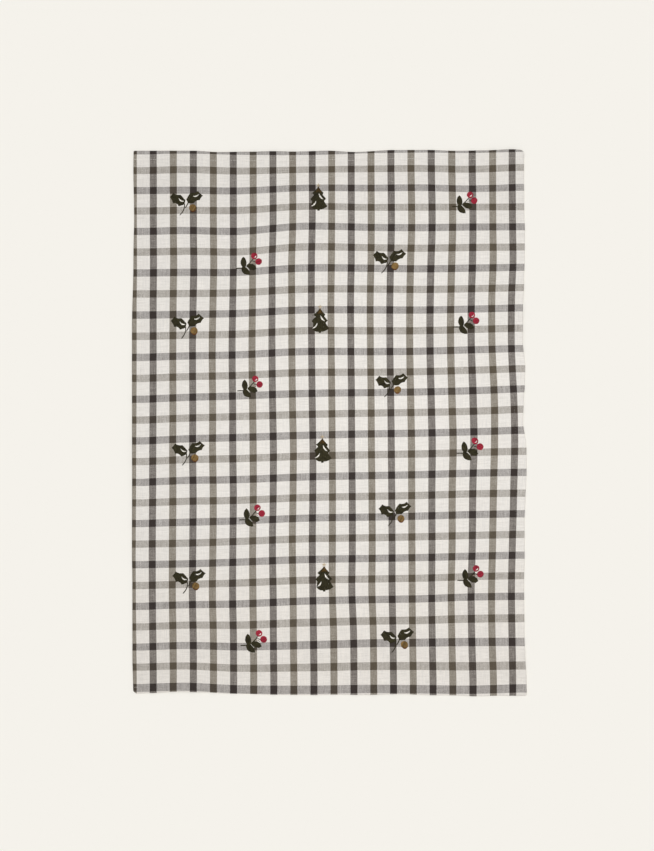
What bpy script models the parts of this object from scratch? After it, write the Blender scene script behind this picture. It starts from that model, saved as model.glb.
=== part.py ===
"""A woven cotton tea towel lying flat, face up, with a stitched hem on all four sides.

Metres, +Z up. X runs across the towel and Y along it, and the point under its middle is the origin.
The cloth is one sheet, hem and all: it lies on the surface with an uneven outline and a few low lifts.
"""

import math
from collections import namedtuple

import bpy

# The towel as it lies, between the mean lines of its four sides
WIDTH = 0.502
LENGTH = 0.697

# The cloth alone, and its turned and stitched hem of three layers
CLOTH_THICKNESS = 0.0011
HEM_THICKNESS = 0.0021
HEM_WIDTH = 0.0118
HEM_STEP = 0.0014  # the run over which the hem falls to the cloth
FOLD_WIDTH = 0.0012  # the rounded outer fold of the hem
FOLD_THICKNESS = 0.0013

# How far apart the mesh lines of the cloth are, inside the hem
MESH_STEP = 0.0125

# How far each side stands outside its mean line (out), at each place along it (at)
Edge = namedtuple("Edge", ("at", "out"))
LEFT_SIDE = (  # from the bottom up
    Edge(-0.348, -0.0007),
    Edge(-0.255, 0.0006),
    Edge(-0.200, 0.0019),
    Edge(0.110, 0.0018),
    Edge(0.195, 0.0006),
    Edge(0.285, 0.0000),
    Edge(0.348, -0.0013),
)
RIGHT_SIDE = (
    Edge(-0.348, 0.0016),
    Edge(-0.300, 0.0023),
    Edge(-0.270, 0.0006),
    Edge(-0.120, 0.0006),
    Edge(-0.095, 0.0022),
    Edge(-0.015, 0.0022),
    Edge(0.020, -0.0010),
    Edge(0.055, 0.0016),
    Edge(0.090, -0.0022),
    Edge(0.158, -0.0021),
    Edge(0.230, 0.0029),
    Edge(0.285, 0.0007),
    Edge(0.348, -0.0003),
)
BOTTOM_SIDE = (  # from the left
    Edge(-0.251, -0.0012),
    Edge(-0.228, -0.0018),
    Edge(-0.183, -0.0031),
    Edge(-0.140, -0.0006),
    Edge(-0.055, 0.0007),
    Edge(0.090, 0.0010),
    Edge(0.225, 0.0014),
    Edge(0.251, 0.0004),
)
TOP_SIDE = (
    Edge(-0.251, 0.0009),
    Edge(-0.165, 0.0008),
    Edge(-0.135, -0.0004),
    Edge(-0.030, -0.0004),
    Edge(-0.008, 0.0009),
    Edge(0.035, -0.0004),
    Edge(0.085, 0.0015),
    Edge(0.160, 0.0009),
    Edge(0.224, 0.0023),
    Edge(0.251, 0.0009),
)

# Where the cloth lifts off the surface: the middle of each lift (x, y), how far it
# reaches across and along the towel, and its height
Lift = namedtuple("Lift", ("x", "y", "across", "along", "height"))
LIFTS = (
    Lift(0.262, 0.128, 0.075, 0.070, 0.0026),  # the wave in the right side
    Lift(0.262, 0.018, 0.060, 0.038, 0.0019),  # the nick below it
    Lift(0.262, -0.292, 0.070, 0.060, 0.0012),  # the right side near the bottom
    Lift(-0.262, -0.045, 0.060, 0.150, 0.0014),  # the swell of the left side
    Lift(-0.180, -0.362, 0.080, 0.060, 0.0022),  # the pucker in the bottom hem
    Lift(0.070, -0.362, 0.110, 0.050, 0.0010),  # the ease of the bottom hem
    Lift(-0.085, 0.362, 0.085, 0.055, 0.0015),  # the dip in the top hem
    Lift(0.225, 0.362, 0.070, 0.060, 0.0018),  # the top right corner
    Lift(-0.066, 0.185, 0.048, 0.150, 0.0012),  # the long low ridge above the middle
)


def out_at(side, place):
    """How far a side stands out at a place along it, with level tops and hollows."""
    if place <= side[0].at:
        return side[0].out
    for edge, following in zip(side, side[1:]):
        if place <= following.at:
            share = (place - edge.at) / (following.at - edge.at)
            eased = (1 - math.cos(math.pi * share)) / 2
            return edge.out + (following.out - edge.out) * eased
    return side[-1].out


def lift_at(x, y):
    """How high the underside of the cloth is over the surface it lies on."""
    height = 0.0
    for lift in LIFTS:
        away = math.hypot((x - lift.x) / lift.across, (y - lift.y) / lift.along)
        if away < 1:
            height += lift.height * (1 + math.cos(math.pi * away)) / 2
    return height


def lying_point(across, along):
    """Where a point of the flat cloth lies, with the sides of the towel drawn in and out."""
    right_share = across / WIDTH + 0.5
    top_share = along / LENGTH + 0.5
    x = across + right_share * out_at(RIGHT_SIDE, along)
    x -= (1 - right_share) * out_at(LEFT_SIDE, along)
    y = along + top_share * out_at(TOP_SIDE, across)
    y -= (1 - top_share) * out_at(BOTTOM_SIDE, across)
    return x, y, lift_at(x, y)


def mesh_lines(side):
    """The places of the mesh lines over a side: close together in the hems, even between them."""
    hem = (0.0, FOLD_WIDTH, HEM_WIDTH - HEM_STEP, HEM_WIDTH)
    inner = side - 2 * HEM_WIDTH
    steps = round(inner / MESH_STEP)
    body = [HEM_WIDTH + inner * step / steps for step in range(1, steps)]
    return [*hem, *body, *(side - line for line in reversed(hem))]


def thickness_at(across, along):
    """The thickness of the sheet: rounded at the fold, thick in the hem, thin in the cloth."""
    inside = min(WIDTH / 2 - abs(across), LENGTH / 2 - abs(along))
    if inside < FOLD_WIDTH / 2:
        return FOLD_THICKNESS
    if inside < HEM_WIDTH - HEM_STEP / 2:
        return HEM_THICKNESS
    return CLOTH_THICKNESS


def cotton_material():
    material = bpy.data.materials.new("checked_cotton")
    material.use_nodes = True
    shader = material.node_tree.nodes["Principled BSDF"]
    shader.inputs["Base Color"].default_value = (0.47, 0.44, 0.40, 1.0)
    shader.inputs["Roughness"].default_value = 0.9
    shader.inputs["Metallic"].default_value = 0.0
    return material


def centred_on_its_box(points):
    """The points moved across the surface, so that the middle of their box is over the origin."""
    middle = [(min(p[k] for p in points) + max(p[k] for p in points)) / 2 for k in (0, 1)]
    return [(x - middle[0], y - middle[1], z) for x, y, z in points]


def tea_towel(collection):
    """A grid in the plane of the underside, moved to where the cloth lies and given its thickness."""
    columns, rows = mesh_lines(WIDTH), mesh_lines(LENGTH)
    bpy.ops.mesh.primitive_grid_add(
        x_subdivisions=len(columns) - 1, y_subdivisions=len(rows) - 1, size=1.0
    )
    towel = bpy.context.object
    towel.name = towel.data.name = "tea_towel"

    flat = []
    for vertex in towel.data.vertices:
        column = round((vertex.co.x + 0.5) * (len(columns) - 1))
        row = round((vertex.co.y + 0.5) * (len(rows) - 1))
        flat.append((columns[column] - WIDTH / 2, rows[row] - LENGTH / 2))
    lying = centred_on_its_box([lying_point(across, along) for across, along in flat])

    thickness = towel.vertex_groups.new(name="thickness")
    for vertex, (across, along), point in zip(towel.data.vertices, flat, lying):
        vertex.co = point
        thickness.add([vertex.index], thickness_at(across, along) / HEM_THICKNESS, "REPLACE")

    sheet = towel.modifiers.new("sheet", "SOLIDIFY")
    sheet.thickness = HEM_THICKNESS
    sheet.offset = 1.0
    sheet.vertex_group = thickness.name
    towel.data.materials.append(cotton_material())
    towel.data.shade_smooth()

    for holder in list(towel.users_collection):
        holder.objects.unlink(towel)
    collection.objects.link(towel)
    return towel


def main():
    for leftover in list(bpy.data.objects):
        bpy.data.objects.remove(leftover, do_unlink=True)
    collection = bpy.data.collections.new("Tea towel")
    bpy.context.scene.collection.children.link(collection)
    tea_towel(collection)


main()
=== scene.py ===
import math
import bpy
import numpy as np
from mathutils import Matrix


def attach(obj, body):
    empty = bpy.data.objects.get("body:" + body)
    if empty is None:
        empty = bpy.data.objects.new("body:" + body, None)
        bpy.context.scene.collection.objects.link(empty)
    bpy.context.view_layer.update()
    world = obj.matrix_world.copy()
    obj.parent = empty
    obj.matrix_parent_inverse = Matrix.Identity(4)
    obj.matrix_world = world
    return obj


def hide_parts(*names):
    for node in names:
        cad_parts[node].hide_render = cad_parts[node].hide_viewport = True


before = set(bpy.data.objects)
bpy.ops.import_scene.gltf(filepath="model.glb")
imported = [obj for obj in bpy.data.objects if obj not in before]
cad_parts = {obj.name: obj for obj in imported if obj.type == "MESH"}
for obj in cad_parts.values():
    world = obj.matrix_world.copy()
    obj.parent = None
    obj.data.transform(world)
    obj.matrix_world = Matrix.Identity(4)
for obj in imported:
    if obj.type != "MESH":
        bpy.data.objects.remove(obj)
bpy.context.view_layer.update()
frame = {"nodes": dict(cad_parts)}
mm = 0.001
print("frame loaded:", ", ".join(frame["nodes"]))

# the cloth as it lies: its tables are in millimetres, x to the right and y up the towel
towel = {
    "width": 0.502,  # between the mean lines of its sides
    "length": 0.697,
    "cell": 3.1 * mm,  # the mesh inside the hems
    "ply": 0.55 * mm,  # one layer of the cloth
    "off": 0.14 * mm,  # how far the single cloth keeps off the surface
    # how far each side stands outside its mean line: (place along it, out)
    "left": (
        (-348, -0.4), (-300, 0.6), (-207, 0.7), (-165, 1.2), (-80, 0.9), (112, 1.2),
        (215, -0.8), (262, -1.6), (325, -0.7), (348, -0.9),
    ),
    "right": (
        (-348, 3.2), (-330, 2.9), (-300, 1.3), (-270, 0.1), (-205, -0.3), (-170, 0.4), (-125, 0.3),
        (-98, 1.4), (-62, 2.9), (-34, 2.8), (6, -1.9), (28, -0.9), (50, 0.8), (70, 1.1),
        (106, -2.1), (148, -1.9), (178, -0.4), (218, 0.7), (244, 0.7), (268, -0.1), (348, -0.5),
    ),
    "bottom": (
        (-251, -1.1), (-228, -1.9), (-196, -3.7), (-165, -3.1), (-120, -1.0), (-60, 0.4),
        (-20, 0.7), (4, 0.1), (40, 0.5), (90, -0.7), (130, 0.9), (158, 1.0), (185, 2.3),
        (214, 1.5), (251, 1.6),
    ),
    "top": (
        (-251, 0.3), (-175, 0.4), (-142, -1.3), (-100, -1.0), (-72, -0.3), (-46, -0.8), (0, 0.4),
        (32, -1.2), (85, 1.3), (125, 1.4), (165, 0.3), (200, 0.7), (236, 2.1), (251, 1.2),
    ),
    # corners: right or left, top or bottom, reach across and along, drawn in across and along
    "corners": (
        (-1, -1, 6.0, 5.0, 2.4, 1.7),
        (-1, 1, 3.0, 3.0, 0.5, 0.4),
        (1, 1, 5.0, 5.0, 1.6, 1.4),
        (1, -1, 4.0, 4.0, 0.8, 0.7),
    ),
    # where it lifts off the surface: middle, reach across and along, height
    "lifts": (
        (262, 128, 75, 70, 2.6),  # the wave in the right side
        (262, 18, 60, 38, 1.9),  # the nick below it
        (262, -292, 70, 60, 1.2),
        (-262, -45, 60, 150, 1.4),  # the swell of the left side
        (-180, -362, 80, 60, 2.2),  # the pucker in the bottom hem
        (70, -362, 110, 50, 1.0),
        (-85, 362, 85, 55, 1.5),  # the dip in the top hem
        (225, 362, 70, 60, 1.8),  # the top right corner
        (-66, 185, 48, 150, 1.2),  # the long low ridge above the middle
    ),
    # soft creases: middle, half length, turn in degrees from level, half width, height
    "creases": (
        (-20, 265, 95, 62, 9, 0.34),
        (40, 150, 120, 84, 11, 0.26),
        (-118, 60, 90, 97, 10, 0.22),
        (182, 92, 70, 12, 9, 0.42),
        (196, 30, 60, -9, 8, 0.36),
        (150, -60, 110, 80, 12, 0.22),
        (-205, -300, 60, 28, 9, 0.36),
        (-165, -318, 48, -35, 8, 0.34),
        (20, -300, 130, 5, 10, 0.26),
        (150, -296, 90, -7, 9, 0.28),
        (-190, 240, 80, 72, 10, 0.20),
        (90, -190, 120, 30, 12, 0.18),
    ),
    "creaseBend": 3.0,  # how far a crease wanders off its line
    "creaseTurn": 2.4,
}

hem = {
    # mesh lines, in from a side
    "lines": (0, 0.25, 0.7, 1.6, 4.5, 8.0, 10.2, 11.2, 12.2, 13.1, 13.6, 16.0, 19.5, 24.5),
    "stitch": 11.2,  # the row of stitches, in from the fold
    "turned": 13.35,  # where the folded edge under the face ends
    "level": 12.4,  # how far in its top keeps its height
    "ease": 11.5,  # the run over which the face comes down from there
    "fold": 0.8,  # the rounding of the outer fold
    "off": 0.04,
    "underRelief": 0.4,  # the share of the relief that its underside has
    "dimple": 0.2,  # how deep the stitches pull the cloth
    "dimpleReach": 0.75,
    "pucker": 0.05,  # the small waves along the stitches
    "puckerReach": 5.0,
    "puckerTurn": 0.56,  # in radians to the millimetre
    "puckerDrift": 0.043,
    "widerRun": 32,  # the run over which the cloth takes up a wider bottom hem
    # how far in the bottom stitches run, from the left
    "bottomStitch": (
        (-251, 8.2), (-190, 7.4), (-60, 12.5), (0, 13.0),
        (90, 11.6), (170, 13.0), (212, 11.1), (251, 11.5),
    ),
}

halfWidth = towel["width"] / 2
halfLength = towel["length"] / 2


def easedBetween(table, places):
    at = np.array([row[0] for row in table]) * mm
    out = np.array([row[1] for row in table]) * mm
    index = np.clip(np.searchsorted(at, places, side="right") - 1, 0, len(at) - 2)
    share = np.clip((places - at[index]) / (at[index + 1] - at[index]), 0, 1)
    return out[index] + (out[index + 1] - out[index]) * (1 - np.cos(np.pi * share)) / 2


def fadeOut(distance, start, run):  # 1 up to start, then an even fall to 0 over the run
    return (1 + np.cos(np.pi * np.clip((distance - start) / run, 0, 1))) / 2


def lyingPlace(across, along):  # from the flat towel to the towel as it lies
    fromBottom = along + halfLength
    wider = easedBetween(hem["bottomStitch"], across) / (hem["stitch"] * mm) - 1
    along = along + fromBottom * wider * fadeOut(fromBottom, hem["turned"] * mm, hem["widerRun"] * mm)
    rightShare = across / towel["width"] + 0.5
    topShare = along / towel["length"] + 0.5
    x = across + rightShare * easedBetween(towel["right"], along)
    x = x - (1 - rightShare) * easedBetween(towel["left"], along)
    y = along + topShare * easedBetween(towel["top"], across)
    y = y - (1 - topShare) * easedBetween(towel["bottom"], across)
    for sideX, sideY, reachX, reachY, inX, inY in towel["corners"]:
        awayX = (across - sideX * halfWidth) / (reachX * mm)
        awayY = (along - sideY * halfLength) / (reachY * mm)
        away = np.hypot(awayX, awayY)
        pull = np.clip(1 - away, 0, 1) ** 2
        x = x - sideX * inX * mm * pull
        y = y - sideY * inY * mm * pull
    return x, y


def flatPlace(x, y):  # the other way round, for what is placed on the lying towel
    across, along = x, y
    for _ in range(5):
        lyingX, lyingY = lyingPlace(across, along)
        across, along = across + x - lyingX, along + y - lyingY
    return across, along


# the sprigs: kind, x, y, lean in degrees, size
sprigPlaces = (
    ("holly", -182.4, 280.8, -1.1, 1.01),
    ("holly", -180.9, 122.9, 1.7, 1.01),
    ("holly", -179.7, -40.0, 1.0, 1.00),
    ("holly", -178.7, -204.3, 1.1, 1.01),
    ("holly", 77.5, 206.5, -3.6, 1.01),
    ("holly", 80.8, 47.4, -1.2, 0.98),
    ("holly", 84.8, -117.8, -0.4, 0.99),
    ("holly", 88.6, -279.4, 0.9, 1.02),
    ("berries", -108.3, 199.2, -1.1, 1.00),
    ("berries", -106.8, 42.0, -1.3, 0.98),
    ("berries", -104.3, -123.5, -0.8, 1.00),
    ("berries", -102.3, -284.7, -1.6, 1.03),
    ("berries", 168.5, 278.1, -3.1, 0.98),
    ("berries", 170.6, 123.6, -2.1, 1.00),
    ("berries", 175.2, -38.2, -1.4, 1.03),
    ("berries", 175.8, -201.5, -1.6, 1.01),
    ("fir", -13.0, 286.4, -0.6, 1.01),
    ("fir", -11.1, 130.1, 0.0, 1.04),
    ("fir", -7.8, -36.5, -1.5, 1.03),
    ("fir", -5.8, -201.1, -0.2, 1.07),
)
# the embroidery stiffens the cloth, holds it up a little and ripples it
sprigRelief = {"raise": 0.24, "middleUp": 2, "reach": 17, "ripple": 0.25, "rippleRun": 1.9}

# long low waves all over the cloth, in millimetres from crest to crest
waves = {"seed": 31, "count": 10, "crest": (34, 115), "height": (0.02, 0.05)}
waveChance = np.random.default_rng(waves["seed"])
lowWaves = []
for _ in range(waves["count"]):
    heading = waveChance.uniform(0, math.tau)
    crest = waveChance.uniform(*waves["crest"]) * mm
    start = waveChance.uniform(0, 1)
    size = waveChance.uniform(*waves["height"]) * mm
    lowWaves.append((math.cos(heading) / crest, math.sin(heading) / crest, start, size))


def reliefAt(x, y):
    height = np.zeros_like(x)
    for turnsX, turnsY, start, size in lowWaves:
        height = height + size * (1 + np.sin(math.tau * (x * turnsX + y * turnsY + start)))
    for middleX, middleY, halfRun, turn, halfBreadth, size in towel["creases"]:
        c, s = math.cos(math.radians(turn)), math.sin(math.radians(turn))
        dx, dy = x / mm - middleX, y / mm - middleY
        run, off = dx * c + dy * s, dy * c - dx * s
        off = off + towel["creaseBend"] * np.sin(run / halfRun * towel["creaseTurn"])
        profile = np.exp(-((off / halfBreadth) ** 2))
        height = height + size * mm * profile * fadeOut(np.abs(run), 0, halfRun)
    for _, middleX, middleY, _, _ in sprigPlaces:
        away = np.hypot(x / mm - middleX, y / mm - middleY - sprigRelief["middleUp"])
        raised = sprigRelief["raise"] * mm * np.exp(-((away / sprigRelief["reach"]) ** 2))
        height = height + raised * (1 + sprigRelief["ripple"] * np.cos(away / sprigRelief["rippleRun"]))
    return height


def liftAt(x, y):
    height = np.zeros_like(x)
    for middleX, middleY, reachX, reachY, size in towel["lifts"]:
        away = np.hypot((x / mm - middleX) / reachX, (y / mm - middleY) / reachY)
        height = height + size * mm * fadeOut(away, 0, 1)
    return height


def clothPoint(across, along, face):  # face is 1 above and -1 below
    x, y = lyingPlace(across, along)
    insets = (halfWidth + across, halfWidth - across, halfLength + along, halfLength - along)
    runs = (along, along, across, across)
    nearest = np.minimum.reduce(insets)
    hemHeight = 2 * towel["ply"] + (hem["off"] * mm - towel["off"])
    raised = np.zeros_like(x)
    pulled = np.zeros_like(x)
    for index, (inset, run) in enumerate(zip(insets, runs)):
        raised = raised + fadeOut(inset, hem["level"] * mm, hem["ease"] * mm) ** 3
        stitchAway = inset / mm - hem["stitch"]
        pulled = pulled + hem["dimple"] * mm * np.exp(-((stitchAway / hem["dimpleReach"]) ** 2))
        drift = 2 * np.sin(run / mm * hem["puckerDrift"] + index)
        pucker = 1 + np.sin(run / mm * hem["puckerTurn"] + drift + index)
        nearStitch = np.exp(-((stitchAway / hem["puckerReach"]) ** 2))
        pulled = pulled + hem["pucker"] * mm * pucker * nearStitch
    lift = liftAt(x, y)
    relief = reliefAt(x, y)
    top = lift + towel["off"] + towel["ply"] + relief + hemHeight * np.cbrt(raised) - pulled
    inHem = nearest < hem["turned"] * mm
    underHem = lift + hem["off"] * mm + hem["underRelief"] * relief
    under = np.where(inHem, underHem, top - towel["ply"])
    roundness = np.sqrt(1 - (1 - np.clip(nearest / (hem["fold"] * mm), 0, 1)) ** 2)
    return x, y, (top + under) / 2 + face * roundness * (top - under) / 2


# the check: charcoal and olive stripes in turn, both ways, counted in yarns
check = {
    "warpYarn": 0.690,  # mm from yarn to yarn
    "weftYarn": 0.7195,
    "stripe": 13,  # yarns in a stripe
    "step": 37,  # yarns from one stripe to the next
    "firstWarp": -225.04,  # the middle of the first whole charcoal stripe from the left
    "firstWeft": 352.1,  # the middle of the charcoal stripe at the top fold
    # how far the cross stripes stand above their even places, in a row for each height
    "riseColumns": (-237, -186, -120, -33, 60, 119, 180, 244),
    "rise": (
        (-349, -0.7, 0.8, -2.8, -3.6, -2.5, -3.0, -3.5, -1.9),
        (-340, 0.4, 2.0, -1.3, -2.1, -1.0, -1.5, -2.1, -0.3),
        (-313, 0.2, 1.6, -1.3, -0.4, 1.4, 1.5, 1.2, 2.4),
        (-287, -0.7, 1.2, -0.3, 1.5, 4.2, 4.9, 5.6, 5.9),
        (-260, -1.5, 0.6, 0.6, 3.8, 6.2, 7.0, 8.9, 9.7),
        (-180, -1.6, -0.7, 1.4, 4.8, 6.4, 7.5, 9.1, 10.6),
        (-74, -2.5, -0.2, 0.9, 4.3, 6.2, 7.3, 9.2, 10.3),
        (6, -2.6, -0.2, 1.8, 4.6, 6.4, 7.3, 8.7, 11.4),
        (86, -2.1, -0.3, 1.0, 5.3, 5.3, 5.8, 7.6, 9.3),
        (166, -0.6, 0.0, 0.8, 5.5, 5.8, 5.3, 6.1, 7.5),
        (246, -0.3, 1.0, -0.2, 6.3, 4.9, 4.6, 5.4, 5.6),
        (272, -0.7, 0.3, 0.0, 5.2, 4.0, 4.3, 4.5, 4.6),
        (299, -1.2, -0.6, -1.6, 2.2, 2.1, 2.6, 1.2, 3.0),
        (325, -2.2, -0.8, -2.6, -0.9, 0.2, 0.7, -0.3, 1.9),
        (352, -3.7, -2.7, -4.2, -5.0, -2.2, -1.4, -1.9, -0.9),
    ),
    # how far the long stripes stand to the right of their even places
    "swayColumns": (-225, -148, -46, 30, 107, 183, 209, 234),
    "sway": (
        (-327, 0.2, 0.9, 1.9, 2.3, 1.8, 1.7, 2.5, 1.5),
        (-274, -0.4, 0.7, 1.2, 1.8, 0.8, 0.0, 0.5, 0.5),
        (-223, -0.9, -0.5, 0.9, -0.3, 0.3, -0.6, 0.2, 0.0),
        (-169, -1.1, 0.0, -0.1, 0.2, 0.1, 0.8, 1.3, 1.1),
        (-89, -0.6, 0.5, 0.8, 0.0, -0.3, 1.6, 2.7, 3.1),
        (-37, -0.4, -0.3, 1.2, -0.6, -0.5, 3.0, 3.9, 4.1),
        (17, -0.1, -0.2, 0.1, -0.8, -1.4, 2.0, 3.8, 3.0),
        (98, 0.1, -0.7, -0.8, -1.7, -2.8, -0.5, 0.5, -0.4),
        (152, 0.1, 0.2, -0.9, -2.0, -2.6, -0.3, 0.4, 0.0),
        (206, 0.5, 1.2, -0.9, -1.1, -1.5, 1.2, 2.2, 2.0),
        (233, 0.4, 0.9, 0.0, -1.1, -0.6, 1.6, 1.9, 1.6),
        (336, 0.3, 0.7, 0.3, -1.2, -1.2, 0.7, 1.3, 0.7),
    ),
}


def smoothBetween(knots, values, places):  # a curve through values, or through each column of them
    slopes = np.gradient(values, knots, axis=0)
    places = np.clip(places, knots[0], knots[-1])
    index = np.clip(np.searchsorted(knots, places) - 1, 0, len(knots) - 2)
    span = knots[index + 1] - knots[index]
    t = (places - knots[index]) / span
    here, following = index, index + 1
    if values.ndim > 1:
        pick = np.arange(places.size)
        here, following = (index, pick), (index + 1, pick)
    return (
        values[here] * (2 * t**3 - 3 * t**2 + 1)
        + slopes[here] * span * (t**3 - 2 * t**2 + t)
        + values[following] * (3 * t**2 - 2 * t**3)
        + slopes[following] * span * (t**3 - t**2)
    )


def driftAt(columns, rows, x, y):
    knots = np.array(columns, float)
    heights = np.array([row[0] for row in rows], float)
    acrossRows = np.array([smoothBetween(knots, np.array(row[1:], float), x) for row in rows])
    return smoothBetween(heights, acrossRows, y)


def yarnCount(x, y):  # the yarns to the left of a point and above it, for points of the lying towel
    shape = x.shape
    x, y = x.ravel() / mm, y.ravel() / mm
    evenX, evenY = x, y
    for _ in range(6):
        evenX, evenY = (
            x - driftAt(check["swayColumns"], check["sway"], evenX, evenY),
            y - driftAt(check["riseColumns"], check["rise"], evenX, evenY),
        )
    half = check["stripe"] / 2
    right = (evenX - check["firstWarp"]) / check["warpYarn"] + half + 2 * check["step"]
    down = (check["firstWeft"] - evenY) / check["weftYarn"] + half + 2 * check["step"]
    return right.reshape(shape), down.reshape(shape)


def meshLines(side):
    hemLines = np.array(hem["lines"]) * mm
    inner = side - 2 * hemLines[-1]
    steps = round(inner / towel["cell"])
    body = hemLines[-1] + inner * np.arange(1, steps) / steps
    return np.concatenate([hemLines, body, side - hemLines[::-1]]) - side / 2


def meshPiece(name, points, faces, uvMaps, materials, faceMaterials=None, tones=None):
    mesh = bpy.data.meshes.new(name)
    mesh.from_pydata(points, [], faces)
    for uvName, corners in uvMaps.items():
        mesh.uv_layers.new(name=uvName).data.foreach_set("uv", np.asarray(corners, np.float32).ravel())
    for material in materials:
        mesh.materials.append(material)
    if faceMaterials is not None:
        mesh.polygons.foreach_set("material_index", np.asarray(faceMaterials, np.int32))
    if tones is not None:
        attribute = mesh.attributes.new("tone", "FLOAT", "POINT")
        attribute.data.foreach_set("value", np.asarray(tones, np.float32))
    mesh.shade_smooth()
    piece = bpy.data.objects.new(name, mesh)
    bpy.context.scene.collection.objects.link(piece)
    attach(piece, "root")
    return piece


def boxMiddle():  # the towel is centred over the origin by its box
    columns, rows = meshLines(towel["width"]), meshLines(towel["length"])
    x, y = lyingPlace(*np.meshgrid(columns, rows))
    return (x.min() + x.max()) / 2, (y.min() + y.max()) / 2


boxX, boxY = boxMiddle()


def centred(x, y, z):
    return np.stack([x - boxX, y - boxY, z], -1)


def makeCloth(material):
    columns, rows = meshLines(towel["width"]), meshLines(towel["length"])
    across, along = np.meshgrid(columns, rows)
    height, width = across.shape
    topPoints = centred(*clothPoint(across, along, 1))
    underPoints = centred(*clothPoint(across, along, -1))
    inner = np.zeros((height, width), bool)
    inner[1:-1, 1:-1] = True
    topIndex = np.arange(height * width).reshape(height, width)
    underIndex = topIndex.copy()  # both layers share the ring of the fold
    underIndex[inner] = height * width + np.arange(inner.sum())
    points = np.concatenate([topPoints.reshape(-1, 3), underPoints[inner]])

    def quads(grid, downward):
        corners = [grid[:-1, :-1], grid[:-1, 1:], grid[1:, 1:], grid[1:, :-1]]
        return np.stack(corners[::-1] if downward else corners, 2).reshape(-1, 4, *grid.shape[2:])

    x, y = lyingPlace(across, along)
    yarns = np.stack(yarnCount(x, y), -1)
    mirroredAcross = yarns.copy()  # the turned-in part of the side hems, seen from below
    mirroredAlong = yarns.copy()
    for column, inside in ((0, across < 0), (-1, across > 0)):
        fold = yarns[:, column, None, 0]
        mirroredAcross[inside, 0] = (2 * fold - yarns[:, :, 0])[inside]
    for row, inside in ((0, along < 0), (-1, along > 0)):
        fold = yarns[None, row, :, 1]
        mirroredAlong[inside, 1] = (2 * fold - yarns[:, :, 1])[inside]
    topCorners = quads(yarns, False)
    underCorners = quads(yarns, True)
    cellAcross = halfWidth - np.abs((columns[:-1] + columns[1:]) / 2)
    cellAlong = halfLength - np.abs((rows[:-1] + rows[1:]) / 2)
    cells = (height - 1, width - 1)
    inSideHem = np.broadcast_to(cellAcross < hem["turned"] * mm, cells).ravel()
    inEndHem = np.broadcast_to((cellAlong < hem["turned"] * mm)[:, None], cells).ravel()
    underCorners[inSideHem] = quads(mirroredAcross, True)[inSideHem]
    underCorners[inEndHem] = quads(mirroredAlong, True)[inEndHem]

    # the picture map: the face takes most of it, the underside a narrow strip beside it
    faceSize, faceCorner = (0.722, 0.994), (0.003, 0.003)
    underSize, underCorner = (0.262, 0.994), (0.735, 0.003)
    place = np.stack([across + halfWidth, along + halfLength], -1) / (towel["width"], towel["length"])
    faceMap = quads(place * faceSize + faceCorner, False)
    underMap = quads(place * underSize + underCorner, True)
    return meshPiece(
        "checkedCloth",
        points,
        np.concatenate([quads(topIndex, False), quads(underIndex, True)]).tolist(),
        {
            "yarnCount": np.concatenate([topCorners, underCorners]),
            "OFBake": np.concatenate([faceMap, underMap]),
        },
        [material],
    )


def setInputs(tree, node, inputs):  # a number or colour is set on the socket, a socket is linked to it
    for key, value in inputs.items():
        if isinstance(value, bpy.types.NodeSocket):
            tree.links.new(value, node.inputs[key])
        else:
            node.inputs[key].default_value = value


def addNode(tree, kind, inputs, **settings):
    node = tree.nodes.new("ShaderNode" + kind)
    for setting, value in settings.items():
        setattr(node, setting, value)
    setInputs(tree, node, inputs)
    return node


def calc(tree, operation, a, b=0.0, c=0.0):
    return addNode(tree, "Math", {0: a, 1: b, 2: c}, operation=operation).outputs[0]


def times(tree, a, b):
    return calc(tree, "MULTIPLY", a, b)


def timesPlus(tree, a, b, c):
    return calc(tree, "MULTIPLY_ADD", a, b, c)


def blendColours(tree, share, first, second):
    return addNode(tree, "Mix", {0: share, 6: first, 7: second}, data_type="RGBA").outputs[2]


def smoothStep(tree, value, low, high):
    span = {"Value": value, "From Min": low, "From Max": high}
    return addNode(tree, "MapRange", span, interpolation_type="SMOOTHSTEP").outputs[0]


def uvOutputs(tree, name):
    uvMap = addNode(tree, "UVMap", {}, uv_map=name)
    return addNode(tree, "SeparateXYZ", {0: uvMap.outputs[0]}).outputs[:2]


def linear(colour):
    shares = [value / 255 for value in colour]
    return tuple(s / 12.92 if s <= 0.04045 else ((s + 0.055) / 1.055) ** 2.4 for s in shares) + (1.0,)


def evened(colour):  # in even steps to the eye, where yarn colours are mixed
    return tuple(value ** (1 / 2.2) for value in linear(colour)[:3]) + (1.0,)


def newMaterial(name):
    material = bpy.data.materials.new(name)
    material.use_nodes = True
    return material, material.node_tree, material.node_tree.nodes["Principled BSDF"]


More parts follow.
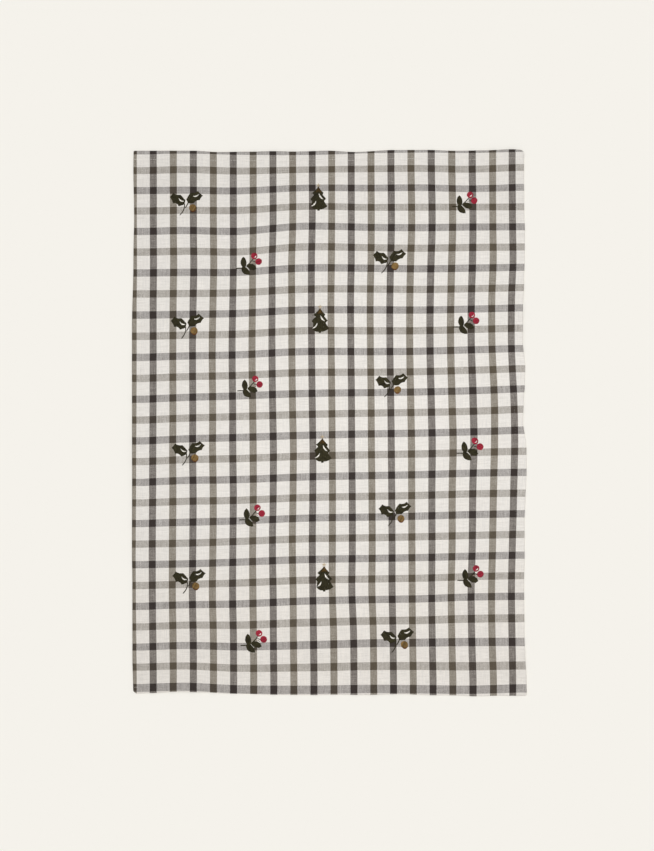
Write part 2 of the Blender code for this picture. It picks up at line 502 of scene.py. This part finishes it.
weave = {
    "warpCream": (242, 238, 233),
    "weftCream": (236, 230, 220),
    "warpWarmLit": (242, 237, 231),  # the same yarns towards the bottom, a little yellower: a painted warm tint of the light there
    "weftWarmLit": (236, 229, 218),
    "warmLightFrom": 760,  # counted in yarns, down from the top
    "warmLightTo": 900,
    "charcoal": (61, 54, 51),
    "olive": (95, 86, 73),
    "warpCover": 0.74,  # the warp stands over the weft, so the long stripes are the darker ones
    "warpShow": 0.31,  # the share of the crossing yarn that shows through the warp
    "weftShow": 0.48,
    "warpSlub": 0.27,  # how much that share varies along single yarns
    "weftSlub": 0.42,
    "warpTicks": 0.31,  # how much more of a thick weft yarn shows through the warp
    "weftTicks": 0.84,
    "dyedEven": 0.55,  # the dyed yarns are evener than the cream ones
    "showFloat": 0.12,  # how unlike each other two floats of one yarn are
    "toneSlub": 0.11,
    "toneFloat": 0.03,
    "dyedFloat": 0.05,  # how much more where dyed yarn lies on top
    "rounding": 0.55,
    "edge": 0.15,  # how softly one yarn goes under the other
    "wander": 0.5,  # of a yarn between its neighbours, in yarns
    "wanderScale": 0.35,
    "slubApart": 5.7,  # keeps the slubs of neighbouring yarns unlike
    "slubScale": 0.045,  # along a yarn
    "cloud": 0.03,  # large soft differences in the cloth
    "cloudScale": 0.012,
    "fibreScale": 7.0,
    "fibreHeight": 0.35,
    "slubHeight": 0.27,
    "depth": 0.12 * mm,
    "bump": 0.6,
    "rough": 0.84,
    "fibreRough": 0.12,
    "gloss": 0.12,
    "sheen": 0.04,
    "sheenRough": 0.5,
}


def yarnColour(tree, yarn, cream):  # cream, and a stripe of charcoal or olive yarns in each step
    step = check["step"]
    repeat = calc(tree, "FLOORED_MODULO", yarn, 2.0 * step)
    isCharcoal = calc(tree, "LESS_THAN", repeat, check["stripe"] - 0.5)
    pastOlive = calc(tree, "LESS_THAN", repeat, step + check["stripe"] - 0.5)
    isOlive = times(tree, pastOlive, calc(tree, "GREATER_THAN", repeat, step - 0.5))
    colour = blendColours(tree, isCharcoal, cream, evened(weave["charcoal"]))
    colour = blendColours(tree, isOlive, colour, evened(weave["olive"]))
    return colour, calc(tree, "ADD", isCharcoal, isOlive)


def noiseAt(tree, across, along, scale, detail=2.0):
    spot = addNode(tree, "CombineXYZ", {0: across, 1: along}).outputs[0]
    return addNode(tree, "TexNoise", {"Vector": spot, "Scale": scale, "Detail": detail}).outputs[0]


def unevenness(tree, noise, dyed):
    share = timesPlus(tree, dyed, -weave["dyedEven"], 1.0)
    return timesPlus(tree, calc(tree, "SUBTRACT", noise, 0.5), share, 0.5)


def clothMaterial():
    material, tree, shader = newMaterial("checkedCotton")
    right, down = uvOutputs(tree, "yarnCount")
    # each yarn wanders a little between its neighbours
    reach, scale = weave["wander"], weave["wanderScale"]
    wander = timesPlus(tree, noiseAt(tree, right, down, scale), reach, -reach / 2)
    right = calc(tree, "ADD", right, wander)
    wander = timesPlus(tree, noiseAt(tree, down, right, scale), reach, -reach / 2)
    down = calc(tree, "ADD", down, wander)
    warp, weft = calc(tree, "FLOOR", right), calc(tree, "FLOOR", down)
    inWarp, inWeft = calc(tree, "FRACT", right), calc(tree, "FRACT", down)
    odd = calc(tree, "FLOORED_MODULO", calc(tree, "ADD", warp, weft), 2.0)
    sign = timesPlus(tree, odd, -2.0, 1.0)

    def yarnHeight(along, acrossYarn, towards):
        wave = times(tree, calc(tree, "SINE", times(tree, along, math.pi)), towards)
        off = timesPlus(tree, acrossYarn, 2.0, -1.0)
        return timesPlus(tree, times(tree, off, off), -weave["rounding"], wave)

    warpHeight = yarnHeight(inWeft, inWarp, sign)
    weftHeight = yarnHeight(inWarp, inWeft, times(tree, sign, -1.0))
    gap = calc(tree, "ADD", calc(tree, "SUBTRACT", warpHeight, weftHeight), weave["warpCover"])
    warpOnTop = smoothStep(tree, gap, -weave["edge"], weave["edge"])

    # painted light: the cream yarns turn yellower down the towel, as if warmer light fell on its bottom
    warmLight = smoothStep(tree, down, weave["warmLightFrom"], weave["warmLightTo"])
    warpCream = blendColours(tree, warmLight, evened(weave["warpCream"]), evened(weave["warpWarmLit"]))
    weftCream = blendColours(tree, warmLight, evened(weave["weftCream"]), evened(weave["weftWarmLit"]))
    warpColour, warpDyed = yarnColour(tree, warp, warpCream)
    weftColour, weftDyed = yarnColour(tree, weft, weftCream)

    # slubs and uneven dye run along single yarns
    acrossWarp = times(tree, warp, weave["slubApart"])
    alongWarp = times(tree, down, weave["slubScale"])
    acrossWeft = times(tree, weft, weave["slubApart"])
    alongWeft = times(tree, right, weave["slubScale"])
    warpUneven = unevenness(tree, noiseAt(tree, acrossWarp, alongWarp, 1.0, 0.5), warpDyed)
    weftUneven = unevenness(tree, noiseAt(tree, alongWeft, acrossWeft, 1.0, 0.5), weftDyed)
    crossing = addNode(tree, "CombineXYZ", {0: warp, 1: weft}).outputs[0]
    chances = addNode(tree, "TexWhiteNoise", {"Vector": crossing}, noise_dimensions="2D")
    chance, otherChance = addNode(tree, "SeparateColor", {0: chances.outputs["Color"]}).outputs[:2]
    leastWarp = weave["warpShow"] - (weave["warpSlub"] - weave["warpTicks"] - weave["showFloat"]) / 2
    warpShow = timesPlus(tree, warpUneven, weave["warpSlub"], leastWarp)
    warpShow = timesPlus(tree, weftUneven, -weave["warpTicks"], warpShow)
    warpShow = timesPlus(tree, chance, -weave["showFloat"], warpShow)
    leastWeft = weave["weftShow"] - (weave["weftSlub"] - weave["weftTicks"] + weave["showFloat"]) / 2
    weftShow = timesPlus(tree, weftUneven, weave["weftSlub"], leastWeft)
    weftShow = timesPlus(tree, warpUneven, -weave["weftTicks"], weftShow)
    weftShow = timesPlus(tree, chance, weave["showFloat"], weftShow)
    colour = blendColours(
        tree,
        warpOnTop,
        blendColours(tree, weftShow, weftColour, warpColour),
        blendColours(tree, warpShow, warpColour, weftColour),
    )
    uneven = calc(tree, "ADD", warpUneven, weftUneven)
    tone = timesPlus(tree, uneven, weave["toneSlub"], 1 - weave["toneSlub"])
    cloudy = noiseAt(tree, right, down, weave["cloudScale"], 3.0)
    cloudTone = timesPlus(tree, cloudy, weave["cloud"], 1 - weave["cloud"] / 2)
    tone = times(tree, tone, cloudTone)
    dyed = calc(tree, "ADD", warpDyed, weftDyed)
    unlike = timesPlus(tree, dyed, weave["dyedFloat"], weave["toneFloat"])
    toneFloat = timesPlus(tree, calc(tree, "SUBTRACT", otherChance, 0.5), unlike, 1.0)
    tone = times(tree, tone, toneFloat)
    toned = addNode(tree, "VectorMath", {0: colour, "Scale": tone}, operation="SCALE").outputs[0]

    fineRight = times(tree, right, weave["fibreScale"])
    fineDown = times(tree, down, weave["fibreScale"])
    fibres = noiseAt(tree, fineRight, fineDown, 1.0, 3.0)
    height = calc(tree, "MAXIMUM", calc(tree, "ADD", warpHeight, weave["warpCover"]), weftHeight)
    height = timesPlus(tree, fibres, weave["fibreHeight"], height)
    height = timesPlus(tree, uneven, weave["slubHeight"], height)
    relief = {"Height": height, "Strength": weave["bump"], "Distance": weave["depth"]}
    setInputs(tree, shader, {
        "Base Color": addNode(tree, "Gamma", {0: toned, 1: 2.2}).outputs[0],
        "Normal": addNode(tree, "Bump", relief).outputs[0],
        "Roughness": timesPlus(tree, fibres, weave["fibreRough"], weave["rough"]),
        "Specular IOR Level": weave["gloss"],
        "Sheen Weight": weave["sheen"],
        "Sheen Roughness": weave["sheenRough"],
    })
    return material


threads = {
    "green": {"colour": (53, 49, 30), "rough": 0.6},
    "gold": {"colour": (133, 105, 62), "rough": 0.5},
    "rust": {"colour": (104, 62, 32), "rough": 0.5},
    "bronze": {"colour": (76, 57, 26), "rough": 0.5},
    "paleGold": {"colour": (192, 173, 142), "rough": 0.5},
    "red": {"colour": (162, 42, 60), "rough": 0.5},
    "beige": {"colour": (176, 158, 142), "rough": 0.5},
    "cream": {"colour": (242, 237, 228), "rough": 0.6},
}
ply = {
    "twist": 5.2,  # in radians to the millimetre
    "fibreAlong": 1.6,
    "fibreAround": 9.0,
    "paintedGrooveShade": 0.9,  # the colour in the groove between the plies: painted shade
    "plyShade": 0.12,
    "fibreShade": 0.16,
    "stitchShade": 0.32,  # how unlike single stitches are
    "fibreHeight": 0.3,
    "depth": 0.05 * mm,
    "bump": 0.6,
    "fibreRough": 0.2,
    "gloss": 0.12,
}


def threadMaterial(name, colour, rough):  # two plies twisted together, with fibres along them
    material, tree, shader = newMaterial(name + "Thread")
    along, around = uvOutputs(tree, "threadRun")
    turn = timesPlus(tree, along, ply["twist"], times(tree, around, math.tau))
    twist = timesPlus(tree, calc(tree, "SINE", turn), 0.5, 0.5)
    fineAlong = times(tree, along, ply["fibreAlong"])
    fineAround = times(tree, around, ply["fibreAround"])
    fibres = noiseAt(tree, fineAlong, fineAround, 1.0, 3.0)
    tone = addNode(tree, "Attribute", {}, attribute_name="tone").outputs["Fac"]
    # painted shade: the thread is darker in the groove between its twisted plies and lighter on their
    # crests
    shade = timesPlus(tree, twist, ply["plyShade"], ply["paintedGrooveShade"])
    shade = calc(tree, "SUBTRACT", shade, ply["fibreShade"] / 2)
    shade = timesPlus(tree, fibres, ply["fibreShade"], shade)
    shade = timesPlus(tree, tone, ply["stitchShade"], shade)
    toned = {0: linear(colour)[:3], "Scale": shade}
    height = timesPlus(tree, fibres, ply["fibreHeight"], twist)
    relief = {"Height": height, "Strength": ply["bump"], "Distance": ply["depth"]}
    vary = ply["fibreRough"]
    setInputs(tree, shader, {
        "Base Color": addNode(tree, "VectorMath", toned, operation="SCALE").outputs[0],
        "Normal": addNode(tree, "Bump", relief).outputs[0],
        "Roughness": timesPlus(tree, fibres, vary, rough - vary / 2),
        "Specular IOR Level": ply["gloss"],
    })
    return material


stitchForm = {
    "sides": 6,
    "stations": (0.0, 0.12, 0.5, 0.88, 1.0),  # along a stitch
    "rise": (-0.9, 0.7, 1.0, 0.7, -0.9),  # its middle line: the ends go down into what is under them
    "breadth": (0.55, 0.95, 1.0, 0.95, 0.55),
    "phase": 40,  # each stitch starts somewhere in so many millimetres of its thread
    "alike": (0.25, 0.5, 0.5, 0.5, 0.25),  # how much of its neighbours' tone a stitch has
    # its cell of the picture map: the sides' size and corner, and the caps'
    "cellSides": ((0.8, 0.9), (0.1, 0.05)),
    "cellCap": (0.06, 1),
    "cellStart": (0.01, 0),
    "cellEnd": (0.93, 0),
}
threadChance = np.random.default_rng(57)


def stitchPiece(name, stitches):
    # stitches: start and end on the flat towel, how far over the cloth they lie, how much more
    # they stand up in the middle, half their breadth, half their height, and their thread
    count, sides = len(stitches), stitchForm["sides"]
    values = np.array([stitch[:8] for stitch in stitches])
    startX, startY, endX, endY, under, arch, breadth, thick = (values[:, k, None] for k in range(8))
    share = np.array(stitchForm["stations"])
    rise = np.array(stitchForm["rise"])
    across, along = startX + (endX - startX) * share, startY + (endY - startY) * share
    x, y, z = clothPoint(across, along, 1)
    z = z + (under + rise * thick + arch * 4 * share * (1 - share))
    dx, dy = x[:, -1:] - x[:, :1], y[:, -1:] - y[:, :1]
    run = np.hypot(dx, dy)
    angle = np.arange(sides) * math.tau / sides
    form = np.array(stitchForm["breadth"])
    side = breadth[:, :, None] * form[:, None] * np.cos(angle)
    up = thick[:, :, None] * form[:, None] * np.sin(angle)
    ringX = x[:, :, None] - (dy / run)[:, :, None] * side
    ringY = y[:, :, None] + (dx / run)[:, :, None] * side
    points = centred(ringX, ringY, z[:, :, None] + up).reshape(-1, 3)

    stations = len(share)
    ids = np.arange(count * stations * sides).reshape(count, stations, sides)
    nextSide = np.roll(ids, -1, axis=2)
    quads = np.stack([ids[:, :-1], nextSide[:, :-1], nextSide[:, 1:], ids[:, 1:]], -1).reshape(-1, 4)
    caps = np.stack([ids[:, 0, ::-1], ids[:, -1]], 1).reshape(-1, sides)

    # each stitch has its own cell of the picture map, and its own stretch of the thread
    wide = math.ceil(math.sqrt(count))
    cell = np.stack([np.arange(count) % wide, np.arange(count) // wide], -1)[:, None, None, None, :]
    low, high = share[:-1, None], share[1:, None]
    corner = np.arange(sides) / sides
    after = corner + 1 / sides
    grid = np.zeros((count, stations - 1, sides, 4, 2))
    for index, (u, v) in enumerate(((low, corner), (low, after), (high, after), (high, corner))):
        grid[..., index, 0], grid[..., index, 1] = u, v
    capSpot = np.stack([0.5 + 0.4 * np.cos(angle), 0.5 + 0.4 * np.sin(angle)], -1)
    capGrid = np.zeros((count, 2, sides, 2))
    capGrid[:, 0] = capSpot[::-1] * stitchForm["cellCap"] + stitchForm["cellStart"]
    capGrid[:, 1] = capSpot * stitchForm["cellCap"] + stitchForm["cellEnd"]
    sidesSize, sidesCorner = stitchForm["cellSides"]
    bake = np.concatenate([
        ((grid * sidesSize + sidesCorner + cell) / wide).reshape(-1, 2),
        ((capGrid + cell[:, :, 0]) / wide).reshape(-1, 2),
    ])
    phase = threadChance.uniform(0, stitchForm["phase"], count)
    runGrid = grid.copy()
    runGrid[..., 0] = grid[..., 0] * (run / mm)[:, :, None, None] + phase[:, None, None, None]
    threadRun = np.concatenate([runGrid.reshape(-1, 2), capGrid.reshape(-1, 2)])

    names = sorted({stitch[8] for stitch in stitches})
    kind = np.array([names.index(stitch[8]) for stitch in stitches])
    chances = threadChance.uniform(-1, 1, count + len(stitchForm["alike"]) - 1)
    tones = np.convolve(chances, stitchForm["alike"], "valid")
    return meshPiece(
        name,
        points,
        quads.tolist() + caps.tolist(),
        {"OFBake": bake, "threadRun": threadRun},
        [threadMaterials[thread] for thread in names],
        np.concatenate([np.repeat(kind, (stations - 1) * sides), np.repeat(kind, 2)]),
        np.repeat(tones, stations * sides),
    )


sewing = {
    "length": 2.5,
    "gap": 0.45,
    "breadth": 0.12,  # half of it, as all breadths of threads here
    "thick": 0.1,
    "vary": 0.15,  # of its length
    "wander": 0.12,
    "slant": 0.05,
    "arch": 0.03,
    "start": 0.9,  # in from the side that the row starts at
    # the stitches sewn back over the ends: their places, how far beside the row and over it
    "tackStarts": (1.1, 3.6),
    "tackEnd": 1.4,
    "tackAside": 0.32,
    "tackOver": 0.04,
    "sunk": (0.06, 0.26, 0.12, 0.20),  # into the cloth: in the top, bottom, left and right hems
}


def hemStitches():
    inset = hem["stitch"] * mm
    lines = (
        (-halfWidth, halfLength - inset, halfWidth, halfLength - inset),
        (-halfWidth, -halfLength + inset, halfWidth, -halfLength + inset),
        (-halfWidth + inset, -halfLength, -halfWidth + inset, halfLength),
        (halfWidth - inset, -halfLength, halfWidth - inset, halfLength),
    )
    stitches = []
    pitch = sewing["length"] + sewing["gap"]
    for (startX, startY, endX, endY), sunk in zip(lines, sewing["sunk"]):
        run = math.hypot(endX - startX, endY - startY) / mm
        dx, dy = (endX - startX) / run / mm, (endY - startY) / run / mm
        starts = list(np.arange(sewing["start"], run - pitch, pitch))
        tacks = [*sewing["tackStarts"], run - sewing["tackEnd"] - sewing["length"]]
        for index, start in enumerate(starts + tacks):
            doubled = index >= len(starts)
            side = threadChance.normal(0, sewing["wander"] / 2)
            side = side + (sewing["tackAside"] if doubled else 0)
            length = sewing["length"] + threadChance.uniform(-sewing["vary"], sewing["vary"])
            endSide = side + threadChance.normal(0, sewing["slant"])
            places = []
            for spot, off in ((start, side), (start + length, endSide)):
                places += [startX + (dx * spot - dy * off) * mm, startY + (dy * spot + dx * off) * mm]
            under = sewing["tackOver"] if doubled else -sunk
            form = (under * mm, sewing["arch"] * mm, sewing["breadth"] * mm, sewing["thick"] * mm)
            stitches.append((*places, *form, "cream"))
    return stitches


# the embroidered designs are drawn in millimetres round their own middles
satin = {
    "pitch": 0.42,
    "pitchVary": (0.95, 1.05),
    "breadth": 0.27,
    "thick": 0.13,
    "arch": 0.045,  # of a stitch's length, up to the highest
    "archMost": 0.2,
    "longest": 6.5,
    "joinWander": 0.6,  # where long rows are split
    "ends": (0.12, 0.38),  # how far a stitch reaches past the outline
    "leafSlant": 42,  # in degrees, of a leaf's stitches from its midrib
    "shineSlant": 12,
    "overlap": 0.2,  # of the two halves of a leaf
    "overLeaf": 0.36,
    "bandArch": 0.1,
    "bandTip": 0.55,  # the share of a band's breadth at its ends, full after so many millimetres
    "bandTaper": 3,
}


def arcPoints(start, control, end, steps=6):
    spots = []
    for step in range(steps + 1):
        t = step / steps
        axes = zip(start, control, end)
        spots.append(tuple(a * (1 - t) ** 2 + 2 * b * t * (1 - t) + c * t * t for a, b, c in axes))
    return spots


def satinRows(outline, slant):  # level rows through the outline, turned by the slant
    c, s = math.cos(slant), math.sin(slant)
    turned = [(x * c + y * s, y * c - x * s) for x, y in outline]
    level = min(y for _, y in turned) + 0.4 * satin["pitch"]
    rows = []
    while level < max(y for _, y in turned):
        crossings = []
        for (x0, y0), (x1, y1) in zip(turned, turned[1:] + turned[:1]):
            if (y0 <= level) != (y1 <= level):
                crossings.append(x0 + (x1 - x0) * (level - y0) / (y1 - y0))
        crossings.sort()
        for left, right in zip(crossings[::2], crossings[1::2]):
            parts = math.ceil((right - left) / satin["longest"])
            part = (right - left) / parts
            wander = satin["joinWander"]
            cuts = [left + part * k + threadChance.uniform(-wander, wander) for k in range(1, parts)]
            joins = [left, *cuts, right]
            for a, b in zip(joins, joins[1:]):
                a -= threadChance.uniform(*satin["ends"])
                b += threadChance.uniform(*satin["ends"])
                rows.append([(end * c - level * s, end * s + level * c) for end in (a, b)])
        level += satin["pitch"] * threadChance.uniform(*satin["pitchVary"])
    return rows


def fill(outline, slant, thread, under=0.0):
    stitches = []
    for start, end in satinRows(outline, math.radians(slant)):
        arch = min(satin["archMost"], satin["arch"] * math.dist(start, end))
        stitches.append((*start, *end, under, arch, satin["breadth"], satin["thick"], thread))
    return stitches


def band(path, breadth, thread, under=0.0, lean=0.5):  # satin along a path, narrower at its ends
    lengths = [0.0]
    for a, b in zip(path, path[1:]):
        lengths.append(lengths[-1] + math.dist(a, b))
    stitches = []
    spot = satin["pitch"] / 2
    while spot < lengths[-1]:
        index = max(k for k in range(len(path) - 1) if lengths[k] <= spot)
        (x0, y0), (x1, y1) = path[index], path[index + 1]
        long = lengths[index + 1] - lengths[index]
        share = (spot - lengths[index]) / long
        dx, dy = (x1 - x0) / long, (y1 - y0) / long
        x, y = x0 + (x1 - x0) * share, y0 + (y1 - y0) * share
        fromEnd = min(spot, lengths[-1] - spot)
        half = breadth / 2 * min(1, satin["bandTip"] + fromEnd / satin["bandTaper"])
        offX, offY = (-dy + lean * dx) * half, (dx + lean * dy) * half
        stitches.append((
            x - offX, y - offY, x + offX, y + offY,
            under, satin["bandArch"], satin["breadth"], satin["thick"], thread,
        ))
        spot += satin["pitch"]
    return stitches


def crescent(start, control, end, breadth, thread="cream"):  # a highlight or shade on a leaf or berry
    outer = arcPoints(start, control, end)
    middle = [(a + b) / 2 for a, b in zip(start, end)]
    reach = math.dist(control, middle)
    shrink = max(0.0, 1 - 2 * breadth / reach)
    inner = [m + (c - m) * shrink for m, c in zip(middle, control)]
    outline = outer + arcPoints(end, inner, start)[1:-1]
    slant = math.degrees(math.atan2(control[1] - middle[1], control[0] - middle[0]))
    return fill(outline, slant + satin["shineSlant"], thread, satin["overLeaf"])


def leaf(base, tip, edges):
    # each half is filled by itself, with its stitches slanting out from the midrib to the tip
    length = math.dist(base, tip)
    dx, dy = (tip[0] - base[0]) / length, (tip[1] - base[1]) / length

    def spot(share, off):  # along the midrib and to its left
        return base[0] + dx * share * length - dy * off, base[1] + dy * share * length + dx * off

    heading = math.degrees(math.atan2(dy, dx))
    stitches = []
    for sign, edge in zip((1, -1), edges):
        midrib = [spot(k / 6, -sign * satin["overlap"]) for k in range(7)]
        outline = [spot(share, sign * off) for share, off in edge] + midrib[::-1]
        stitches += fill(outline, heading + sign * satin["leafSlant"], "green")
    return stitches


def spinyEdge(half, spines, hollow, stem=1.6):  # scallops between the spines of a holly leaf
    tips = [(0.0, stem), *((share, half * size) for share, size in spines), (1.0, 0.0)]
    edge = []
    for index, (start, end) in enumerate(zip(tips, tips[1:])):
        swell = 1.15 if index == 0 else hollow  # the leaf is full at its stem
        control = ((start[0] + end[0]) / 2, (start[1] + end[1]) / 2 * swell)
        edge += arcPoints(start, control, end)[:-1]
    return edge + [tips[-1]]


def plainEdge(half, fullness, steps=10):  # widest a little before the middle
    shares = [k / steps for k in range(steps + 1)]
    return [(share, half * math.sin(math.pi * share**0.9) ** fullness) for share in shares]


def disc(x, y, radius, steps=18):
    angles = [math.tau * k / steps for k in range(steps)]
    return [(x + radius * math.cos(angle), y + radius * math.sin(angle)) for angle in angles]


def hollySprig():
    left = leaf(
        (-1.7, 2.7), (-21.0, 8.2),
        (
            spinyEdge(7.5, ((0.3, 1.03), (0.69, 0.87)), 0.5, 3.4),
            spinyEdge(6.7, ((0.4, 1.0), (0.86, 0.94)), 0.64),
        ),
    )
    right = leaf(
        (1.7, 2.2), (20.8, 11.3),
        (
            spinyEdge(9.1, ((0.41, 1.0), (0.85, 0.84)), 0.66, 3.7),
            spinyEdge(4.4, ((0.3, 1.0), (0.71, 0.86)), 0.45),
        ),
    )
    stem = band(arcPoints((-2.8, 1.6), (-0.5, -7.2), (-8.3, -14.6), 8), 1.2, "green")
    stem += band([(2.8, 2.6), (1.0, -1.4), (-1.4, -5.4)], 1.3, "green", lean=0.2)
    stalk = band([(1.9, -0.5), (6.0, -0.8)], 0.2, "beige")
    berry = fill(disc(8.2, -5.1, 4.6), 64, "gold")
    shadow = crescent((4.4, -7.3), (8.5, -13.4), (12.4, -7.1), 1.1, "rust")
    shine = crescent((-9.5, 6.9), (-8.0, 0.8), (-2.9, 3.4), 1.4)
    shine += crescent((8.8, 10.0), (12.6, 7.2), (16.0, 12.7), 1.4)
    return {"Leaves": left + right + stem, "Berry": berry + shadow, "Shine": shine + stalk}


def berrySprig():
    leaves = leaf((0.4, -0.4), (-1.4, 13.4), (plainEdge(4.2, 0.62), plainEdge(3.3, 0.62)))
    leaves += leaf((-2.6, 0.8), (7.6, -9.0), (plainEdge(3.3, 0.7), plainEdge(4.6, 0.75)))
    upperEdge = spinyEdge(4.2, ((0.16, 0.85), (0.55, 1.0), (0.8, 0.8)), 0.9, 1.0)
    lowerEdge = spinyEdge(3.5, ((0.48, 1.0), (0.8, 0.88)), 0.9, 1.0)
    leaves += leaf((3.2, 2.3), (15.9, -1.0), (upperEdge, lowerEdge))
    stems = band([(-10.4, -1.4), (-6, -1.1), (-1.8, -1.0)], 1.4, "green")
    stems += band(arcPoints((4.8, 3.6), (8.6, 7.6), (11.4, 11.4)), 1.2, "green")
    stems += band([(10.4, 8.6), (15.0, 7.0)], 1.0, "green")
    berries = fill(disc(12.5, 15.0, 4.1), 118, "red") + fill(disc(18.3, 7.8, 4.2), 28, "red")
    shine = crescent((14.8, 15.4), (14.9, 12.4), (12.1, 13.0), 0.8)
    shine += band(arcPoints((8.7, 5.6), (11.6, 7.4), (14.0, 4.4)), 0.7, "beige", satin["overLeaf"])
    shine += band([(2.4, 1.0), (6.6, -3.4)], 0.5, "cream")
    return {"Leaves": leaves + stems, "Berries": berries, "Shine": shine}


def firSprig():
    apex, foot = 15.8, -12.3
    # its left and right tips, their height, and how far in it goes under them on the left and right
    tiers = ((8.0, 6.4, 8.4, 5.4, 5.3), (10.2, 9.6, 0.6, 8.0, 7.0), (9.0, 11.4, -8.8, 0, 0))
    overlap = satin["overlap"]
    green = []
    for sign, column in ((-1, 0), (1, 1)):
        side = [(0.0, apex)]
        for index, tier in enumerate(tiers):
            half, level = tier[column], tier[2]
            startX, startY = side[-1]
            control = (startX + 0.46 * (half - startX), level + 3.0)
            side += arcPoints((startX, startY), control, (half, level), 4)[1:]
            if index < len(tiers) - 1:
                side.append((tier[column + 3], level - 2.6))
        side += arcPoints(side[-1], (6.0, foot - 1.0), (1.6, foot - 0.4), 4)[1:]
        outline = [(-overlap, apex - 1), *side, (-overlap, foot)]
        green += fill([(sign * x, y) for x, y in outline], -sign * 28, "green")
    green += fill([(-1.4, foot), (1.6, foot), (1.4, foot - 1.9), (-1.0, foot - 1.9)], 0, "green")
    topOutline = [(0.0, apex + 0.4), (4.0, apex - 6.6), (0, apex - 5.8), (-3.6, apex - 6.6)]
    top = fill(topOutline, 72, "bronze", 0.3)
    star = []
    starY = apex + 2.1
    for point in range(5):
        angle = math.radians(90 + 72 * point)
        tipX, tipY = 2.8 * math.cos(angle), starY + 2.6 * math.sin(angle)
        star.append((0.0, starY, tipX, tipY, 0.05, 0.08, 0.42, satin["thick"], "paleGold"))
    snow = crescent((0.7, 7.2), (0.8, 1.4), (5.9, 0.3), 1.5)
    snow += crescent((-3.2, -2.2), (-3.5, -7.8), (-9.0, -8.4), 1.3)
    return {"Tree": green, "Top": top + star, "Snow": snow}


designs = {"holly": hollySprig, "berries": berrySprig, "fir": firSprig}


def placedStitches(stitches, x, y, lean, size):
    across, along = flatPlace(np.array(x * mm), np.array(y * mm))
    turn = math.radians(lean)
    c, s = size * math.cos(turn) * mm, size * math.sin(turn) * mm
    placed = []
    for x0, y0, x1, y1, under, arch, breadth, thick, thread in stitches:
        placed.append((
            across + x0 * c - y0 * s, along + x0 * s + y0 * c,
            across + x1 * c - y1 * s, along + x1 * s + y1 * c,
            under * mm, arch * mm, breadth * mm, thick * mm, thread,
        ))
    return placed


def makeSprigs():
    gathered = {}
    for kind, x, y, lean, size in sprigPlaces:
        for part, stitches in designs[kind]().items():
            gathered.setdefault((kind, part), []).extend(placedStitches(stitches, x, y, lean, size))
    pieces = []
    for (kind, part), stitches in gathered.items():
        pieces.append(stitchPiece(kind + part, stitches))
        print(f"{kind}{part}: {len(stitches)} stitches")
    return pieces


studio = {
    "floor": (245, 242, 235),
    "sky": 0.39,  # the shares of the light on the middle of the towel
    "side": 0.11,
    "pool": 0.50,
    "sideTilt": 30,
    "sideFrom": 130,  # degrees from the right, anticlockwise
    "sideSpread": 50,
    "floorSize": 60,
    "floorHeight": -0.0001,  # clear of what lies on it
    "poolGain": 1.07,  # makes good what its size spills
    "poolX": 80,
    "poolY": 10,
    "poolHeight": 1.05,
    "poolSize": 0.5,
    "lens": 85,
    "viewHeight": 1.0918,  # of the floor, from the bottom of the picture to the top
    "lookX": -2.0,
    "lookY": -3.5,
    "sees": 20,  # metres
}


def addLight(name, kind, energy, turn=(0, 0, 0), **settings):
    lamp = bpy.data.objects.new(name, bpy.data.lights.new(name, kind))
    lamp.rotation_euler = turn
    lamp.data.energy = energy
    for setting, value in settings.items():
        setattr(lamp.data, setting, value)
    bpy.context.scene.collection.objects.link(lamp)
    return lamp


def lightOnly(lamp, name, things):
    receivers = bpy.data.collections.new(name)
    for thing in things:
        receivers.objects.link(thing)
    lamp.light_linking.receiver_collection = receivers


def makeStudio():
    bpy.ops.mesh.primitive_plane_add(size=studio["floorSize"], location=(0, 0, studio["floorHeight"]))
    floor = bpy.context.object
    floor.name = "floor"
    material, tree, shader = newMaterial("paleFloor")
    matt = {"Base Color": linear(studio["floor"]), "Roughness": 1.0, "Specular IOR Level": 0.0}
    setInputs(tree, shader, matt)
    floor.data.materials.append(material)

    scene = bpy.context.scene
    scene.view_settings.view_transform = "Standard"
    world = bpy.data.worlds.new("softRoom")
    scene.world = world
    world.use_nodes = True
    room = world.node_tree
    setInputs(room, room.nodes["Background"], {"Color": (1, 1, 1, 1), "Strength": studio["sky"]})
    tilt = math.radians(studio["sideTilt"])
    turn = (0, tilt, math.radians(studio["sideFrom"]))
    sidePower = studio["side"] * math.pi / math.cos(tilt)
    addLight("sideLight", "SUN", sidePower, turn, angle=math.radians(studio["sideSpread"]))
    # the floor is lit evenly, and the towel has a soft pool of light over its middle
    floorLight = addLight("floorLight", "SUN", studio["pool"] * math.pi)
    lightOnly(floorLight, "evenlyLit", [floor])
    poolPower = studio["pool"] * studio["poolGain"] * math.pi**2 * studio["poolHeight"] ** 2
    pool = addLight("poolLight", "AREA", poolPower, size=studio["poolSize"])
    pool.location = (studio["poolX"] * mm, studio["poolY"] * mm, studio["poolHeight"])
    pool.visible_camera = False

    camera = bpy.data.objects.new("camera", bpy.data.cameras.new("camera"))
    camera.data.lens = studio["lens"]
    distance = studio["viewHeight"] * studio["lens"] / camera.data.sensor_width
    camera.location = (studio["lookX"] * mm - boxX, studio["lookY"] * mm - boxY, distance)
    camera.data.clip_end = studio["sees"]
    scene.collection.objects.link(camera)
    scene.camera = camera
    return pool


threadMaterials = {name: threadMaterial(name, **settings) for name, settings in threads.items()}
pool = makeStudio()
print("studio ready")
cloth = makeCloth(clothMaterial())
print("cloth laid:", len(cloth.data.polygons), "faces")
hemSeams = stitchPiece("hemStitches", hemStitches())
print("hems sewn")
sprigs = makeSprigs()
lightOnly(pool, "poolLit", [cloth, hemSeams, *sprigs])
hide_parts("tea_towel")
